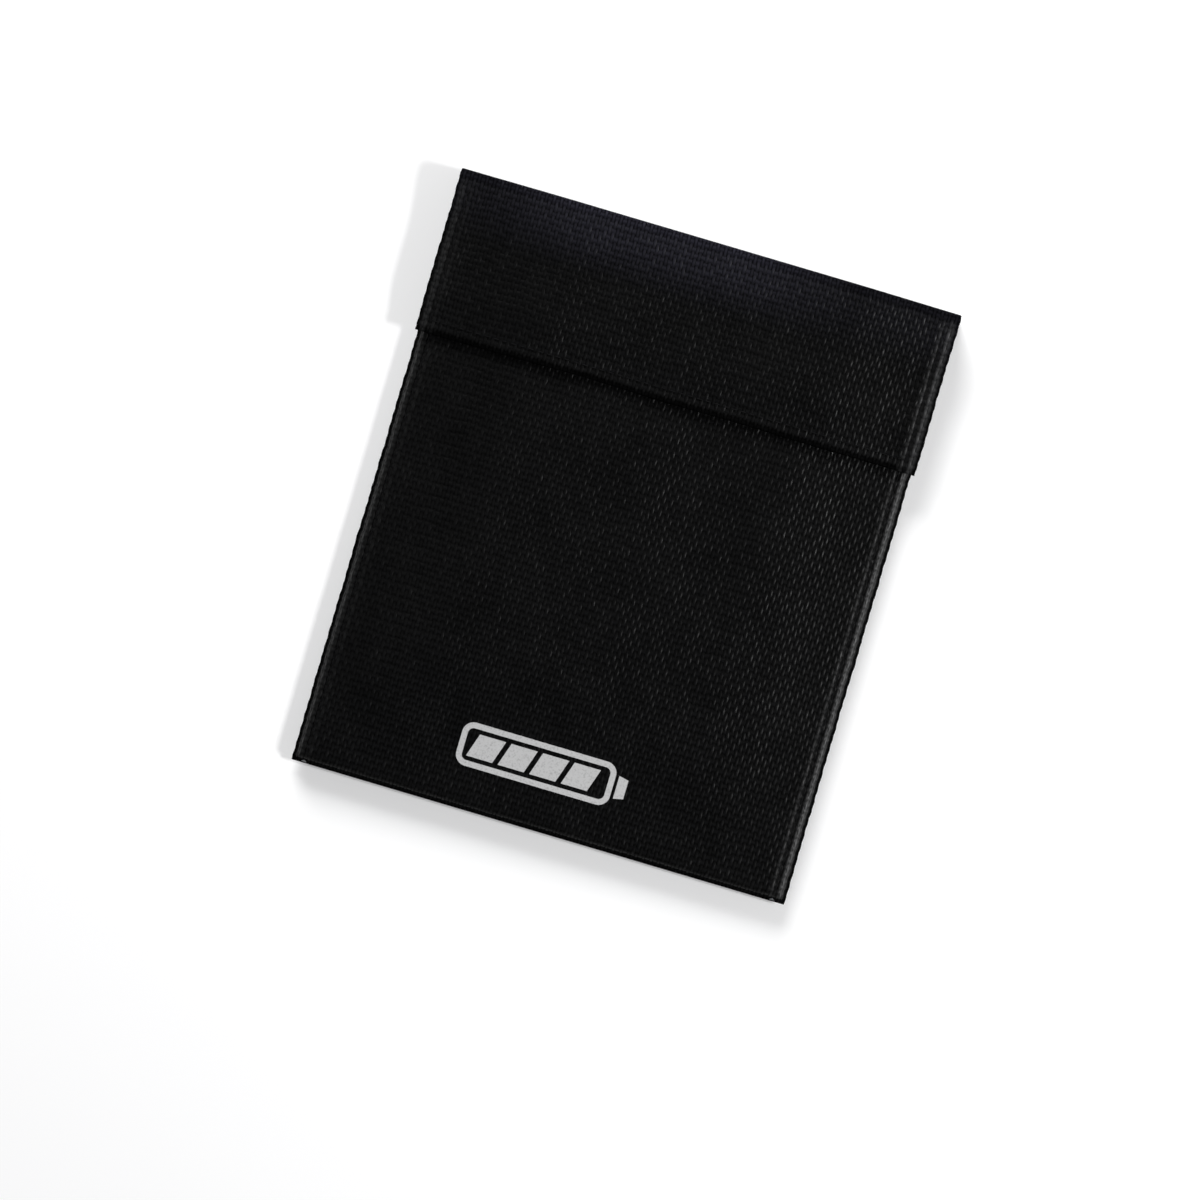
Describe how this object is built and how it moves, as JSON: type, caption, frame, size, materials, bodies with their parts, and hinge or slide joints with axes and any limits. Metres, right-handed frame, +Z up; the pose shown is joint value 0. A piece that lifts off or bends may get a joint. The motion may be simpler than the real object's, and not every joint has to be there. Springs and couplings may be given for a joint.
{
  "type": "lipo safe bag",
  "caption": "Flat fire-resistant cloth pouch for charging and storing lithium polymer batteries, with a fold-over flap closed by hook and loop tape.",
  "frame": {"origin": "on the surface the pouch lies on, under the middle of its outline", "axes": "+Z up through the front; +Y from the bottom fold to the top fold that carries the flap; +X across the front, to the right as its front is read"},
  "size_m": [0.186, 0.22, 0.0135],
  "materials": {
    "outer_cloth": "black coated glass-fibre plain weave with a faint sheen",
    "lining_cloth": "silver-grey coated glass-fibre cloth, satin",
    "binding_tape": "black woven polyester tape, matt",
    "hook_tape": "black nylon hook tape",
    "loop_tape": "black nylon loop tape, matt",
    "sewing_thread": "black polyester thread"
  },
  "bodies": {
    "pouch": {"back_panel": "outer_cloth", "back_lining": "lining_cloth", "left_seam_binding": "binding_tape", "right_seam_binding": "binding_tape", "left_seam_bobbin_thread": "sewing_thread", "right_seam_bobbin_thread": "sewing_thread"},
    "front": {"front_panel": "outer_cloth", "front_lining": "lining_cloth", "left_seam_needle_thread": "sewing_thread", "right_seam_needle_thread": "sewing_thread", "mouth_hem_needle_thread": "sewing_thread", "mouth_hem_bobbin_thread": "sewing_thread", "loop_tape": "loop_tape", "loop_tape_lower_thread": "sewing_thread", "loop_tape_upper_thread": "sewing_thread"},
    "top_fold": {"top_fold_cloth": "outer_cloth", "top_fold_lining": "lining_cloth"},
    "flap": {"flap_panel": "outer_cloth", "flap_lining": "lining_cloth", "hook_tape": "hook_tape", "hook_tape_lower_thread": "sewing_thread", "hook_tape_upper_thread": "sewing_thread", "flap_hem_needle_thread": "sewing_thread", "flap_hem_bobbin_thread": "sewing_thread"}
  },
  "joints": [
    {"name": "lower_crease", "type": "hinge", "parent": "pouch", "child": "top_fold", "pos_m": [0, 0.1088, 0.0013], "axis": [-1, 0, 0], "range_deg": [0, 90]},
    {"name": "flap_crease", "type": "hinge", "parent": "top_fold", "child": "flap", "pos_m": [0, 0.1088, 0.0119], "axis": [-1, 0, 0], "range_deg": [0, 90]},
    {"name": "mouth_gape", "type": "hinge", "parent": "pouch", "child": "front", "pos_m": [0, -0.1097, 0.0028], "axis": [1, 0, 0], "range_deg": [0, 8]}
  ],
  "couplings": [
    {"joint": "mouth_gape", "follows": "flap_crease", "ratio": 0.0888}
  ]
}
